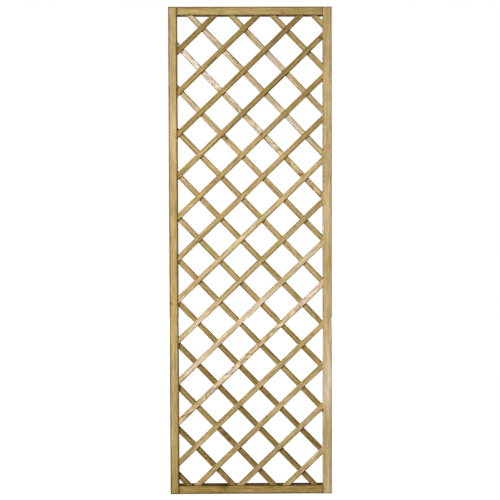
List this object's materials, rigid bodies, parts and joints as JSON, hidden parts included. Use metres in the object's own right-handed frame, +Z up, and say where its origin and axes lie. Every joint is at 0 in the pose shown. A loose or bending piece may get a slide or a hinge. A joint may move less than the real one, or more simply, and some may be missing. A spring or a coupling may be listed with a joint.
{
  "type": "lattice trellis panel",
  "caption": "Tall framed garden trellis panel: crossing softwood laths form open diamonds that climbing plants grow through.",
  "frame": {"origin": "middle of the foot of the panel, halfway through its depth", "axes": "+Z up the panel, +X to the right when facing its front, front face towards -Y"},
  "size_m": [0.6, 0.045, 1.8],
  "materials": {
    "stile_timber": "planed",
    "rail_timber": "planed",
    "front_lath_timber": "planed",
    "back_lath_timber": "planed",
    "screw_steel": "zinc plated"
  },
  "bodies": {
    "root": {"left_stile": "stile_timber", "right_stile": "stile_timber", "bottom_rail": "rail_timber", "top_rail": "rail_timber", "front_lath_01": "front_lath_timber", "front_lath_02": "front_lath_timber", "front_lath_03": "front_lath_timber", "front_lath_04": "front_lath_timber", "front_lath_05": "front_lath_timber", "front_lath_06": "front_lath_timber", "front_lath_07": "front_lath_timber", "front_lath_08": "front_lath_timber", "front_lath_09": "front_lath_timber", "front_lath_10": "front_lath_timber", "front_lath_11": "front_lath_timber", "front_lath_12": "front_lath_timber", "front_lath_13": "front_lath_timber", "front_lath_14": "front_lath_timber", "back_lath_01": "back_lath_timber", "back_lath_02": "back_lath_timber", "back_lath_03": "back_lath_timber", "back_lath_04": "back_lath_timber", "back_lath_05": "back_lath_timber", "back_lath_06": "back_lath_timber", "back_lath_07": "back_lath_timber", "back_lath_08": "back_lath_timber", "back_lath_09": "back_lath_timber", "back_lath_10": "back_lath_timber", "back_lath_11": "back_lath_timber", "back_lath_12": "back_lath_timber", "back_lath_13": "back_lath_timber", "back_lath_14": "back_lath_timber", "back_lath_15": "back_lath_timber", "bottom_left_front_screw": "screw_steel", "bottom_left_back_screw": "screw_steel", "bottom_right_front_screw": "screw_steel", "bottom_right_back_screw": "screw_steel", "top_left_front_screw": "screw_steel", "top_left_back_screw": "screw_steel", "top_right_front_screw": "screw_steel", "top_right_back_screw": "screw_steel"}
  },
  "joints": []
}
